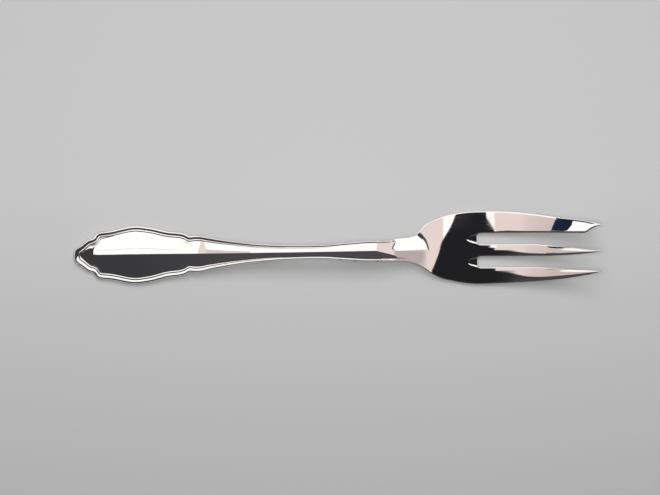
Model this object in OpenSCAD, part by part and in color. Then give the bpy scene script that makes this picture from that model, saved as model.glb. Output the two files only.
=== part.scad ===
// Pastry fork, die struck from one blank: a thread-bordered handle, a slim arched stem and three tines.
// X runs from the handle's tip to the tine tips, +Y is the cutting side and +Z the hollow side.
// The fork lies on its back. Its regions are modules that meet face to face at flat joins across X.

/* [Handle] */
// Length of the broad handle end, from its tip to the notch above the stem
handle_l = 33; // [28:0.5:40]
// Width across the broadest place of the handle
handle_w = 16.5; // [13.5:0.5:20]
// Length of the small rounded nose at the tip of the handle
nose_l = 0.5; // [0.4:0.1:1]
// Width of the small rounded nose
nose_w = 3.7; // [3:0.1:4.2]
// Thickness of the handle's edge under the border
handle_edge_t = 1.1; // [0.8:0.1:1.6]
// Height of the panel's swell over the border's floor
panel_h = 0.85; // [0.4:0.05:1.3]
// Height of the rounded back of the handle below its edge
handle_back_h = 0.45; // [0.2:0.05:0.8]

/* [Thread border] */
// Width of the double thread border round the handle
border_w = 1.7; // [1.2:0.1:2.2]
// Width of the border where the stem is slimmest
stem_border_w = 0.65; // [0.5:0.05:0.9]
// Height of the outer thread on the handle
thread_h = 0.28; // [0.15:0.01:0.4]
// Height of the outer thread along the stem
stem_thread_h = 0.15; // [0.1:0.01:0.25]

/* [Stem] */
// Width across the shoulders below the handle's notch
shoulder_w = 10.4; // [8.5:0.1:12.5]
// Length of the taper from the notch to the waist
taper_l = 34.5; // [28:0.5:42]
// Width of the waist, the slimmest place of the stem
waist_w = 3.9; // [3.2:0.1:5]
// Length from the waist to the end of the threads
swell_l = 23.5; // [19:0.5:28]
// Width where the threads end and the neck begins
neck_w = 5.9; // [4.8:0.1:7.2]
// Thickness of the stem's edge
stem_edge_t = 1; // [0.8:0.1:1.4]
// Height of the stem's rounded front over its edge
stem_front_h = 0.6; // [0.4:0.05:0.9]
// Height of the stem's rounded back below its edge
stem_back_h = 0.7; // [0.4:0.05:1]
// Height of the arched stem's back over the table
arch_h = 7.6; // [5:0.1:11]

/* [Neck and head] */
// Length of the neck, from the end of the threads to the spread head
neck_l = 13.2; // [10.5:0.1:16]
// Length of the head, from the neck to the roots of the slots
head_l = 10.8; // [8.5:0.1:13.5]
// Thickness of the head's edge
head_edge_t = 1.1; // [0.9:0.1:1.5]
// Height of the head's rounded front over its edge
head_front_h = 0.35; // [0.1:0.05:0.6]
// Height of the head's rounded back below its edge
belly_h = 0.5; // [0.2:0.05:0.9]

/* [Tines] */
// Length of the slots, from their roots to the tine tips
tine_l = 35; // [28:0.5:42]
// Width of the cutting tine at its root
cutting_w = 6.3; // [5:0.1:7.8]
// Width of the middle tine at its root
middle_w = 3.5; // [2.8:0.1:4.3]
// Width of the outer tine at its root
outer_w = 4.8; // [3.8:0.1:6]
// Width of both slots
slot_w = 3.1; // [2.5:0.1:3.8]
// Radius of the slots' inner corners
slot_r = 0.7; // [0.4:0.05:1]
// Distance by which the middle tine's root lies toward the outer tine
middle_shift = 0.25; // [0:0.05:0.6]
// Height of the tine tips' back over the table
tine_rise = 11; // [7:0.5:15]
// Thickness of the tine tips' edge
tip_t = 0.6; // [0.5:0.05:0.9]
// Size of the rounding along the edges of the tines
edge_r = 0.22; // [0.1:0.02:0.3]
// Width of the bevel behind the cutting edge
bevel_w = 1.5; // [0.8:0.1:2.2]
// Height by which that bevel thins the cutting edge
bevel_h = 0.5; // [0.2:0.05:0.7]

/* [Hidden] */

// Places along the fork
waist_x = handle_l + taper_l;
stem_x = waist_x + swell_l;
neck_x = stem_x + neck_l;
root_x = neck_x + head_l;
fork_l = root_x + tine_l;
flare_l = neck_l + head_l;
// The tines leave the head a little past the slots' roots, so that their corners stay in the head
tine_x = root_x + 2 * slot_r;
free_l = fork_l - tine_x;

// Places across the fork, from its long axis
middle_left = middle_w / 2 - middle_shift;
middle_right = -middle_w / 2 - middle_shift;
cutting_right = middle_left + slot_w;
outer_left = middle_right - slot_w;
head_left = cutting_right + cutting_w;
head_right = -outer_left + outer_w;

// The back's roundness left at the tine tips, and how far it dips below the table before it is stoned flat
tip_belly_h = belly_h / 3;
rest_dip = 0.06;
tip_lift = 0.35;
overrun = 1;
hair = 0.001;

// Curve points between two neighbouring rows of the tables
handle_steps = 3;
body_steps = 2;
tine_steps = 2;
corner_steps = 5;

// Outline of the handle: shares of its length and of its half width
handle_shares = [
    [0.033, 0.279], [0.062, 0.364], [0.09, 0.455], [0.115, 0.525], [0.135, 0.557], [0.16, 0.585],
    [0.185, 0.72], [0.22, 0.807], [0.3, 0.84], [0.53, 1], [0.65, 0.945], [0.825, 0.784], [0.91, 0.75],
    [0.965, 0.69]
];
notch_share = 0.975;
// Outline of the taper: shares of its length, and of the way from the waist out to the shoulders
taper_shares = [
    [0.04, 1], [0.08, 0.99], [0.16, 0.83], [0.25, 0.65], [0.41, 0.39], [0.5, 0.27], [0.66, 0.13],
    [0.83, 0.035], [1, 0]
];
// Outline below the waist: shares of that length, and of the way from the waist out to the neck
swell_shares = [[0.1, 0.03], [0.22, 0.13], [0.34, 0.4], [0.47, 0.61], [0.59, 0.85], [0.71, 0.97], [1, 1]];
// Outline of neck and head: shares of their length, and of the way out to the left and right edges
flare_shares = [
    [0.02, 0.05, 0], [0.08, 0.067, 0], [0.135, 0.098, 0.02], [0.195, 0.13, 0.06], [0.25, 0.165, 0.12],
    [0.31, 0.33, 0.215], [0.37, 0.53, 0.35], [0.43, 0.645, 0.51], [0.49, 0.725, 0.635],
    [0.55, 0.795, 0.74], [0.67, 0.9, 0.84], [0.79, 0.962, 0.93], [0.91, 0.995, 0.985], [1, 1, 1]
];
// Outlines of the tines: shares of the free length, then of the root width for the left and right edge
cutting_shares = [
    [0, 1, 0], [0.14, 0.985, 0], [0.31, 0.92, -0.01], [0.48, 0.8, -0.02], [0.65, 0.65, -0.04],
    [0.86, 0.495, -0.063], [0.91, 0.42, 0.1], [0.95, 0.375, 0.205], [1, 0.32, 0.28]
];
middle_shares = [
    [0, 1, 0], [0.44, 0.95, -0.03], [0.57, 0.82, -0.04], [0.65, 0.72, -0.02], [0.74, 0.635, 0.01],
    [0.82, 0.53, 0.065], [0.91, 0.42, 0.14], [1, 0.34, 0.25]
];
outer_shares = [
    [0, 1, 0], [0.14, 1, 0.02], [0.31, 0.985, 0.065], [0.48, 0.96, 0.13], [0.65, 0.846, 0.227],
    [0.82, 0.78, 0.39], [0.91, 0.737, 0.5], [1, 0.687, 0.647]
];

// The rows of points across the skin, as shares of the border's width and of the way on to the middle
thread_row_shares = [0, 0.1, 0.21, 0.32, 0.42, 0.52, 0.59, 0.66, 0.73, 0.8, 1];
rim_row_shares = [0, 0.1, 1];
panel_row_shares = [0.15, 0.35, 0.6, 0.8, 1];
back_row_shares = [0.07, 0.25, 0.5, 0.75];
// Centre, reach and height of each thread, as shares of the border's width and of the outer thread
outer_thread_shares = [0.21, 0.21, 1];
inner_thread_shares = [0.66, 0.14, 0.6];
// Where the side wall starts and ends, as shares of the edge thickness
side_low_share = 0.15;
side_high_share = 0.8;
// Where the border's width stops following the lean of the outline, and the most it may cover
lean_share = 0.5;
cover_share = 0.6;
// Length of the tip in which the rows turn round it, and where their common spine starts
turn_l = handle_l * 0.36;
spine_l = handle_l * 0.18;
turn_power = 1.5;

// Smooth curve through a table's rows that never overshoots them
function rise(rows, i, c) = (rows[i + 1][c] - rows[i][c]) / (rows[i + 1][0] - rows[i][0]);
function slope(rows, i, c) =
    i == 0 ? rise(rows, 0, c)
    : i == len(rows) - 1 ? rise(rows, i - 1, c)
    : let (a = rise(rows, i - 1, c), b = rise(rows, i, c)) a * b <= 0 ? 0 : 2 * a * b / (a + b);
function span(rows, x, i = 0) = i >= len(rows) - 2 || x < rows[i + 1][0] ? i : span(rows, x, i + 1);
function curve(rows, x, c = 1) =
    let (
        i = span(rows, x),
        h = rows[i + 1][0] - rows[i][0],
        t = min(max((x - rows[i][0]) / h, 0), 1),
        u = 1 - t
    )
    rows[i][c] * u * u * (1 + 2 * t) + rows[i + 1][c] * t * t * (3 - 2 * t)
    + h * t * u * (slope(rows, i, c) * u - slope(rows, i + 1, c) * t);
function curve_slope(rows, x, c = 1) =
    let (
        i = span(rows, x),
        h = rows[i + 1][0] - rows[i][0],
        t = min(max((x - rows[i][0]) / h, 0), 1),
        u = 1 - t
    )
    6 * t * u * rise(rows, i, c) + slope(rows, i, c) * u * (1 - 3 * t)
    + slope(rows, i + 1, c) * t * (1 - 3 * u);
function mix(a, b, share) = a + (b - a) * share;

// Outline: half widths to the left and right of the axis
outline_rows = concat(
    [[nose_l, nose_w / 2, nose_w / 2]],
    [for (s = handle_shares) [handle_l * s[0], handle_w / 2 * s[1], handle_w / 2 * s[1]]],
    [[handle_l, shoulder_w / 2 * notch_share, shoulder_w / 2 * notch_share]],
    [for (s = taper_shares) let (w = mix(waist_w, shoulder_w, s[1]) / 2) [handle_l + taper_l * s[0], w, w]],
    [for (s = swell_shares) let (w = mix(waist_w, neck_w, s[1]) / 2) [waist_x + swell_l * s[0], w, w]],
    [
        for (s = flare_shares)
            [stem_x + flare_l * s[0], mix(neck_w / 2, head_left, s[1]), mix(neck_w / 2, head_right, s[2])]
    ],
    [[tine_x, head_left, head_right], [fork_l, head_left, head_right]]
);
function nose_turn(x) = acos(1 - x / nose_l);
function half_w(x, side) =
    x < nose_l ? nose_w / 2 * sin(nose_turn(x)) : curve(outline_rows, x, side > 0 ? 1 : 2);
function lean(x, side) =
    x < nose_l
    ? atan2(nose_w / 2 * cos(nose_turn(x)), nose_l * sin(nose_turn(x)))
    : atan(curve_slope(outline_rows, x, side > 0 ? 1 : 2));

// Side view: the back's middle line over the table, then what lies on it
rail_rows = [
    [0, tip_lift],
    [handle_l * 0.15, -rest_dip],
    [handle_l * 0.42, -rest_dip],
    [handle_l * 0.72, arch_h * 0.06],
    [handle_l, arch_h * 0.21],
    [handle_l + taper_l * 0.35, arch_h * 0.54],
    [handle_l + taper_l * 0.72, arch_h * 0.87],
    [waist_x + swell_l * 0.15, arch_h],
    [waist_x + swell_l * 0.6, arch_h * 0.92],
    [stem_x, arch_h * 0.68],
    [stem_x + neck_l * 0.45, arch_h * 0.365],
    [neck_x, arch_h * 0.08],
    [neck_x + head_l * 0.45, -rest_dip],
    [neck_x + head_l * 0.8, -rest_dip],
    [tine_x, tine_rise * 0.015],
    [tine_x + free_l * 0.25, tine_rise * 0.13],
    [tine_x + free_l * 0.5, tine_rise * 0.36],
    [tine_x + free_l * 0.75, tine_rise * 0.66],
    [fork_l, tine_rise]
];
edge_t_rows = [
    [0, handle_edge_t], [handle_l, handle_edge_t], [waist_x, stem_edge_t], [stem_x, stem_edge_t],
    [neck_x, head_edge_t], [tine_x, head_edge_t], [fork_l, tip_t]
];
front_h_rows = [
    [0, 0], [spine_l, panel_h], [handle_l, panel_h], [waist_x, stem_front_h], [stem_x, stem_front_h],
    [stem_x + neck_l * 0.45, stem_front_h], [neck_x, head_front_h * 1.3],
    [neck_x + head_l * 0.5, head_front_h], [tine_x, head_front_h], [fork_l, 0]
];
back_h_rows = [
    [0, handle_back_h], [handle_l, handle_back_h], [waist_x, stem_back_h], [stem_x, stem_back_h],
    [neck_x, belly_h], [tine_x, belly_h], [fork_l, tip_belly_h]
];
thread_h_rows = [
    [0, thread_h], [handle_l, thread_h], [waist_x, stem_thread_h], [stem_x - swell_l * 0.15, stem_thread_h],
    [stem_x - swell_l * 0.03, 0], [fork_l, 0]
];
border_rows = [
    [0, border_w * 1.3], [handle_l * 0.06, border_w], [handle_l, border_w],
    [handle_l + taper_l * 0.5, mix(stem_border_w, border_w, 0.4)], [waist_x, stem_border_w],
    [stem_x, stem_border_w], [fork_l, stem_border_w]
];

function edge_z(x) = curve(rail_rows, x) + curve(back_h_rows, x);
function swelling(share) = 1 - (1 - share) * (1 - share);
function thread(share, of) =
    abs(share - of[0]) < of[1] ? of[2] * sqrt(1 - pow((share - of[0]) / of[1], 2)) : 0;
function threads(share) = max(thread(share, outer_thread_shares), thread(share, inner_thread_shares));

// Skin of the blank: every station's row of points turns with the outline round the tip
function spine_x(x) = x < turn_l ? x + spine_l * pow(1 - x / turn_l, turn_power) : x;
function border_end(p, q, x, side) =
    let (
        way = norm(q - p),
        d = (q - p) / way,
        n = [sin(lean(x, side)), -side * cos(lean(x, side))],
        w = curve(border_rows, x) / max(lean_share, d * n)
    )
    p + d * min(w, way * cover_share);
function border_point(at, share) =
    let (high = share == 0 ? side_high_share : 1)
    [at[0], at[1], edge_z(at[0]) + curve(edge_t_rows, at[0]) * high
        + curve(thread_h_rows, at[0]) * threads(share)];
function panel_point(at, share) =
    [at[0], at[1], edge_z(at[0]) + curve(edge_t_rows, at[0])
        + curve(front_h_rows, at[0]) * swelling(share)];
function back_point(at, share) =
    [at[0], at[1], edge_z(at[0]) - curve(back_h_rows, at[0]) * swelling(share)];
function low_point(at) = [at[0], at[1], edge_z(at[0]) + curve(edge_t_rows, at[0]) * side_low_share];

// Half a ring, from the middle of the front over the edge to just short of the middle of the back
function half_ring(x, side, border_shares) =
    let (
        p = [x, side * half_w(x, side)],
        q = [spine_x(x), 0],
        b = border_end(p, q, x, side)
    )
    concat(
        [for (i = [len(panel_row_shares) - 1 : -1 : 0]) let (s = panel_row_shares[i]) panel_point(mix(b, q, s), s)],
        [for (i = [len(border_shares) - 1 : -1 : 0]) let (s = border_shares[i]) border_point(mix(p, b, s), s)],
        [low_point(p)],
        [for (s = back_row_shares) back_point(mix(p, q, s), s)]
    );
function ring(x, border_shares) =
    let (
        left = half_ring(x, 1, border_shares),
        right = half_ring(x, -1, border_shares)
    )
    concat(left, [back_point([spine_x(x), 0], 1)], [for (i = [len(right) - 1 : -1 : 1]) right[i]]);

// Stations between two places: the outline's own, each gap cut in equal steps
function stations(from, to, steps) = concat(
    [
        for (i = [0 : len(outline_rows) - 2])
            if (outline_rows[i][0] > from - hair && outline_rows[i + 1][0] < to + hair)
                for (k = [0 : steps - 1]) mix(outline_rows[i][0], outline_rows[i + 1][0], k / steps)
    ],
    [to]
);

// Triangles that close a ring between its front chain a and its back chain b, both running the same way
function zip(pts, a, b, i = 0, j = 0) =
    i == len(a) - 1 && j == len(b) - 1 ? []
    : j == len(b) - 1 || (i < len(a) - 1 && pts[a[i + 1]][1] > pts[b[j + 1]][1])
    ? concat([[a[i], a[i + 1], b[j]]], zip(pts, a, b, i + 1, j))
    : concat([[a[i], b[j + 1], b[j]]], zip(pts, a, b, i, j + 1));
function turned(faces) = [for (f = faces) [f[2], f[1], f[0]]];
function real_faces(faces) = [for (f = faces) if (f[0] != f[1] && f[1] != f[2] && f[2] != f[0]) f];

// Loft through equal rings. Its ends are closed between the front and the back, which meet at the ring's
// left and right lower edges, and a pointed loft starts on a ring whose two halves share their points.
module loft(rings, left_low, right_low, pointed) {
    n = len(rings[0]);
    last = len(rings) - 1;
    function at(i, r) = let (k = r % n) pointed && i == 0 ? min(k, n - k) : i * n + k;
    pts = [for (r = rings) each r];
    // Diagonals lean so that no triangle falls flat where the halves of a pointed loft meet
    function leans(r) = r < left_low || (r >= n / 2 && r < right_low);
    walls = [
        for (i = [0 : last - 1], r = [0 : n - 1])
            each leans(r)
                ? [[at(i, r), at(i, r + 1), at(i + 1, r + 1)], [at(i, r), at(i + 1, r + 1), at(i + 1, r)]]
                : [[at(i, r), at(i, r + 1), at(i + 1, r)], [at(i, r + 1), at(i + 1, r + 1), at(i + 1, r)]]
    ];
    front = [for (r = [left_low : -1 : right_low - n]) (r + n) % n];
    back = [for (r = [left_low : right_low]) r];
    start = pointed ? [] : zip(pts, front, back);
    end = turned(zip(pts, [for (r = front) last * n + r], [for (r = back) last * n + r]));
    polyhedron(points = pts, faces = real_faces(concat(walls, start, end)));
}

module skin(from, to, border_shares, steps, nose = []) {
    rings = [for (x = concat(nose, stations(from, to, steps))) ring(x, border_shares)];
    low = len(panel_row_shares) + len(border_shares);
    loft(rings, low, len(rings[0]) - low, len(nose) > 0);
}

// What the blank loses where it is stoned flat to rest on the table
module under_table(from, to) {
    wide = head_left + head_right + handle_w;
    translate([from, -wide / 2, -overrun]) cube([to - from, wide, overrun]);
}

// Places the fork with the middle of its box over the origin
module placed() {
    translate([-fork_l / 2, (head_right - head_left) / 2, 0]) children();
}

module handle() {
    nose = [for (a = [0 : 30 : 60]) nose_l * (1 - cos(a))];
    color("silver") placed() difference() {
        skin(nose_l, handle_l, thread_row_shares, handle_steps, nose);
        under_table(-overrun, handle_l + overrun);
    }
}

module stem() {
    color("silver") placed() skin(handle_l, stem_x, thread_row_shares, body_steps);
}

module neck() {
    color("silver") placed() skin(stem_x, neck_x, rim_row_shares, body_steps);
}

// A slot's plan: square at the tines' end, with rounded corners at its root
module slot_plan(right) {
    arc = [for (k = [0 : corner_steps]) 90 * k / corner_steps];
    far = tine_x + overrun;
    polygon(concat(
        [[far, right], [far, right + slot_w]],
        [for (a = arc) [root_x + slot_r - slot_r * sin(a), right + slot_w - slot_r + slot_r * cos(a)]],
        [for (a = arc) [root_x + slot_r - slot_r * cos(a), right + slot_r - slot_r * sin(a)]]
    ));
}

module head() {
    tall = arch_h + head_edge_t;
    color("silver") placed() difference() {
        skin(neck_x, tine_x, rim_row_shares, body_steps);
        under_table(neck_x, tine_x + overrun);
        for (right = [middle_left, outer_left])
            translate([0, 0, -overrun]) linear_extrude(tall + overrun) slot_plan(right);
    }
}

// The tines' front and back follow the head's crown and belly
function crown_share(x, y) =
    let (w = half_w(x, y), b = curve(border_rows, x)) swelling(max(0, 1 - abs(y) / (w - b)));
function front_z(x, y) = edge_z(x) + curve(edge_t_rows, x) + curve(front_h_rows, x) * crown_share(x, y);
function back_z(x, y) = edge_z(x) - curve(back_h_rows, x) * swelling(1 - abs(y) / half_w(x, y));

// How far the edge rounding and the cutting bevel have grown, along the free length
round_rows = [[0, 0.2], [0.15, 1], [1, 1]];
bevel_rows = [[0, 0], [0.2, 1], [0.85, 1], [1, 0.2]];

function tine_ring(share, rows, root, width, bevelled) =
    let (
        x = tine_x + free_l * share,
        yl = root + width * curve(rows, share, 1),
        yr = root + width * curve(rows, share, 2),
        r = min(edge_r, (yl - yr) / 4) * curve(round_rows, share),
        bw = bevelled ? min(bevel_w, (yl - yr) / 3) * curve(bevel_rows, share) : 0,
        bh = bevelled ? min(bevel_h, tip_t / 2) * curve(bevel_rows, share) : 0,
        ml = mix(yl, yr, 1 / 3),
        mr = mix(yl, yr, 2 / 3)
    )
    [
        [x, ml, front_z(x, ml)],
        [x, yl - r, front_z(x, yl - r)],
        [x, yl, front_z(x, yl) - r],
        [x, yl, back_z(x, yl) + r + bh],
        [x, yl - max(r, bw), back_z(x, yl - max(r, bw))],
        [x, mix(ml, mr, 1 / 2), back_z(x, mix(ml, mr, 1 / 2))],
        [x, yr + r, back_z(x, yr + r)],
        [x, yr, back_z(x, yr) + r],
        [x, yr, front_z(x, yr) - r],
        [x, yr + r, front_z(x, yr + r)],
        [x, mr, front_z(x, mr)]
    ];

module tine(rows, root, width, bevelled = false) {
    shares = concat(
        [
            for (i = [0 : len(rows) - 2], k = [0 : tine_steps - 1])
                mix(rows[i][0], rows[i + 1][0], k / tine_steps)
        ],
        [1]
    );
    color("silver") placed() loft([for (s = shares) tine_ring(s, rows, root, width, bevelled)], 3, 7, false);
}

module cutting_tine() {
    tine(cutting_shares, cutting_right, cutting_w, true);
}

module middle_tine() {
    tine(middle_shares, middle_right, middle_w);
}

module outer_tine() {
    tine(outer_shares, outer_left - outer_w, outer_w);
}

handle();
stem();
neck();
head();
cutting_tine();
middle_tine();
outer_tine();
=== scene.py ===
# Pastry fork in polished silver plate: one struck blank with a double thread border, an arched stem and
# three tines, laid on its back on a pale table.
# Lengths inside the shaping functions are in millimetres from the handle's tip and from the fork's long
# axis, as a cutler would lay it out. They become metres in the shared frame when a piece is made.
import math

import bpy
import numpy as np
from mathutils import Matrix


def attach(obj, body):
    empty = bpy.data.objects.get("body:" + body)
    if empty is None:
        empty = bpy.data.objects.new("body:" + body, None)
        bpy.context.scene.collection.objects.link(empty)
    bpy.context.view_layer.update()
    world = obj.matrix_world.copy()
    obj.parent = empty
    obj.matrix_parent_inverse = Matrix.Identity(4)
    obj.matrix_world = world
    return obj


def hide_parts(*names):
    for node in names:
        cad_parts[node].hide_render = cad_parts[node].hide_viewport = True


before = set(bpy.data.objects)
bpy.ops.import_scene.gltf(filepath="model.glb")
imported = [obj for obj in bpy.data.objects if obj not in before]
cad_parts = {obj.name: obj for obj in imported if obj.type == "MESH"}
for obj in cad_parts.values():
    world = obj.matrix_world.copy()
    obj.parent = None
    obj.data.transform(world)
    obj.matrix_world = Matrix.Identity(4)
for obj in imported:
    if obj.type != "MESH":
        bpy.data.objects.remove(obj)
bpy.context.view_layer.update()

# Sizes of the blank, the same as the part's
HANDLE_L, HANDLE_W, NOSE_L, NOSE_W = 33.0, 16.5, 0.5, 3.7
SHOULDER_W, TAPER_L, WAIST_W, SWELL_L = 10.4, 34.5, 3.9, 23.5
NECK_W, NECK_L, HEAD_L, TINE_L = 5.9, 13.2, 10.8, 35.0
CUTTING_W, MIDDLE_W, OUTER_W, SLOT_W, SLOT_R = 6.3, 3.5, 4.8, 3.1, 0.7
ARCH_H, TINE_RISE = 7.6, 11.0

WAIST_X = HANDLE_L + TAPER_L
STEM_X = WAIST_X + SWELL_L
NECK_X = STEM_X + NECK_L
ROOT_X = NECK_X + HEAD_L
FORK_L = ROOT_X + TINE_L
TINE_X = ROOT_X + 2 * SLOT_R
FREE_L = FORK_L - TINE_X
MIDDLE_LEFT, MIDDLE_RIGHT = 1.5, -2.0
CUTTING_RIGHT, OUTER_LEFT = MIDDLE_LEFT + SLOT_W, MIDDLE_RIGHT - SLOT_W
HEAD_LEFT, HEAD_RIGHT = CUTTING_RIGHT + CUTTING_W, OUTER_W - OUTER_LEFT
BOX_MIDDLE = np.array([FORK_L / 2, (HEAD_LEFT - HEAD_RIGHT) / 2, 0])
MM = 0.001

# How finely curves are drawn, how far they run on past the fork's ends, and where the edge counts as near
FINE, PAST_END, NEAR_EDGE = 0.04, 8, 1.5
# Softening of the outline along the stem and head, at the notches, and round the tip
FAIR_SPREAD, CRISP_SPREAD, BLUNT_SPREAD = 1.2, 0.15, 0.4
# The handle's width at its end, as a share of the shoulder's
SHOULDER_SHARE = 0.975
# Where the swelled panel starts at the handle's tip, how it climbs to its crown, how steep its sides are
PANEL_END_X, PANEL_END_SLOPE, PANEL_END_ROUND, PANEL_SIDE_SLOPE = 2.7, 0.33, 0.16, 1.4
# How far the front's edge is rounded off: under the outer thread, and from the neck on by its thickness
EDGE_DROP, HEAD_EDGE_DROP = 0.07, 0.2
# How far the back's edge is rounded off by its thickness, and over what width
BACK_EDGE_DROP, BACK_ROUND_W = 0.6, 0.32
# Radius of the tines' tips, fall of a slim tine's front to its sides, tilt of the cutting tine's front, and
# the most of a tine's half width that its rounding takes
TIP_R, TINE_CROWN, BLADE_TILT, MOST_ROUND = 0.14, 0.12, 0.055, 0.6
# The cutting tine's bevel beside the slot: width, slope, the share of the slope lost at the tip, and how
# much wider the edge's rounding is there
BEVEL_W, BEVEL_SLOPE, BEVEL_LOST, BEVEL_BLUNTED = 0.45, 0.35, 0.75, 1.1
# Its thinned underside: width, height, the share of the width lost at the tip, and the thickness left
THIN_W, THIN_H, THIN_LOST, THIN_LEFT = 1.4, 0.32, 0.7, 0.3
# Troughs before the slots' roots: length, depth and width of their banks
RUN_OUT_L, RUN_OUT_H, RUN_OUT_BANK = 3.4, 0.24, 0.45
# Middle of each slot across the fork
SLOTS = [(MIDDLE_LEFT + CUTTING_RIGHT) / 2, (OUTER_LEFT + MIDDLE_RIGHT) / 2]

# Outline of the handle: shares of its length and of its half width
HANDLE_SHARES = [
    (0.033, 0.279), (0.062, 0.364), (0.09, 0.455), (0.115, 0.525), (0.135, 0.557), (0.16, 0.585),
    (0.185, 0.72), (0.22, 0.807), (0.3, 0.84), (0.53, 1), (0.65, 0.945), (0.825, 0.784), (0.91, 0.75),
    (0.965, 0.69),
]
TAPER_SHARES = [
    (0.04, 1), (0.08, 0.99), (0.16, 0.83), (0.25, 0.65), (0.41, 0.39), (0.5, 0.27), (0.66, 0.13),
    (0.83, 0.035), (1, 0),
]
SWELL_SHARES = [(0.1, 0.03), (0.22, 0.13), (0.34, 0.4), (0.47, 0.61), (0.59, 0.85), (0.71, 0.97), (1, 1)]
FLARE_SHARES = [
    (0.02, 0.05, 0), (0.08, 0.067, 0), (0.135, 0.098, 0.02), (0.195, 0.13, 0.06), (0.25, 0.165, 0.12),
    (0.31, 0.33, 0.215), (0.37, 0.53, 0.35), (0.43, 0.645, 0.51), (0.49, 0.725, 0.635), (0.55, 0.795, 0.74),
    (0.67, 0.9, 0.84), (0.79, 0.962, 0.93), (0.91, 0.995, 0.985), (1, 1, 1),
]
# Outlines of the tines: shares of the free length, then of the root width for the left and right edge
CUTTING_SHARES = [
    (0, 1, 0), (0.14, 0.985, 0), (0.31, 0.92, -0.01), (0.48, 0.8, -0.02), (0.65, 0.65, -0.04),
    (0.86, 0.495, -0.063), (0.91, 0.42, 0.1), (0.95, 0.375, 0.205), (1, 0.32, 0.28),
]
MIDDLE_SHARES = [
    (0, 1, 0), (0.44, 0.95, -0.03), (0.57, 0.82, -0.04), (0.65, 0.72, -0.02), (0.74, 0.635, 0.01),
    (0.82, 0.53, 0.065), (0.91, 0.42, 0.14), (1, 0.34, 0.25),
]
OUTER_SHARES = [
    (0, 1, 0), (0.14, 1, 0.02), (0.31, 0.985, 0.065), (0.48, 0.96, 0.13), (0.65, 0.846, 0.227),
    (0.82, 0.78, 0.39), (0.91, 0.737, 0.5), (1, 0.687, 0.647),
]


def mix(a, b, share):
    return a + (b - a) * share


def ease_in(low, high, value):
    """Smooth step from 0 at low to 1 at high."""
    t = np.clip((value - low) / (high - low), 0, 1)
    return t * t * (3 - 2 * t)


def eased(values, spread, step=FINE):
    """A curve's samples with their corners softened over a spread, its ends carried straight on."""
    reach = int(math.ceil(4 * spread / step))
    bell = np.exp(-0.5 * (np.arange(-reach, reach + 1) * step / spread) ** 2)
    before = values[0] + (values[0] - values[1]) * np.arange(reach, 0, -1)
    after = values[-1] + (values[-1] - values[-2]) * np.arange(1, reach + 1)
    return np.convolve(np.concatenate([before, values, after]), bell / bell.sum(), mode="valid")


def through_rows(rows, column, x):
    """Smooth curve through a table's rows that never overshoots them."""
    at = np.array([row[0] for row in rows], float)
    value = np.array([row[column] for row in rows], float)
    rise = np.diff(value) / np.diff(at)
    before, after = rise[:-1], rise[1:]
    same_way = before * after > 0
    slope = np.where(same_way, 2 * before * after / np.where(same_way, before + after, 1), 0)
    slope = np.concatenate([rise[:1], slope, rise[-1:]])
    i = np.clip(np.searchsorted(at, x, side="right") - 1, 0, len(at) - 2)
    h = at[i + 1] - at[i]
    over = (x - at[i]) / h
    t = np.clip(over, 0, 1)
    u = 1 - t
    inside = (
        value[i] * u * u * (1 + 2 * t) + value[i + 1] * t * t * (3 - 2 * t)
        + h * t * u * (slope[i] * u - slope[i + 1] * t)
    )
    past = np.where(over > 1, (over - 1) * slope[i + 1], 0)
    return inside + h * np.where(over < 0, over * slope[i], past)


def curve(rows, spread=0.0, column=1):
    """Function of x that follows a table's rows, softened over a spread in millimetres."""
    x = np.arange(-PAST_END, FORK_L + PAST_END, FINE)
    y = through_rows(rows, column, x)
    if spread:
        y = eased(y, spread)
    return lambda at: np.interp(at, x, y)


def even_rows(start, length, low, high, shares):
    """Rows of an outline with the same half width on both sides of the axis."""
    return [(start + length * s,) + (mix(low, high, w) / 2,) * 2 for s, w in shares]


# The outline's rows, with half widths to the left and to the right of the axis
OUTLINE_ROWS = (
    [(NOSE_L, NOSE_W / 2, NOSE_W / 2)]
    + even_rows(0, HANDLE_L, 0, HANDLE_W, HANDLE_SHARES)
    + even_rows(0, HANDLE_L, 0, SHOULDER_W, [(1, SHOULDER_SHARE)])
    + even_rows(HANDLE_L, TAPER_L, WAIST_W, SHOULDER_W, TAPER_SHARES)
    + even_rows(WAIST_X, SWELL_L, WAIST_W, NECK_W, SWELL_SHARES)
    + [
        (STEM_X + (NECK_L + HEAD_L) * s, mix(NECK_W / 2, HEAD_LEFT, a), mix(NECK_W / 2, HEAD_RIGHT, b))
        for s, a, b in FLARE_SHARES
    ]
    + [(TINE_X, HEAD_LEFT, HEAD_RIGHT), (FORK_L, HEAD_LEFT, HEAD_RIGHT)]
)


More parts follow.
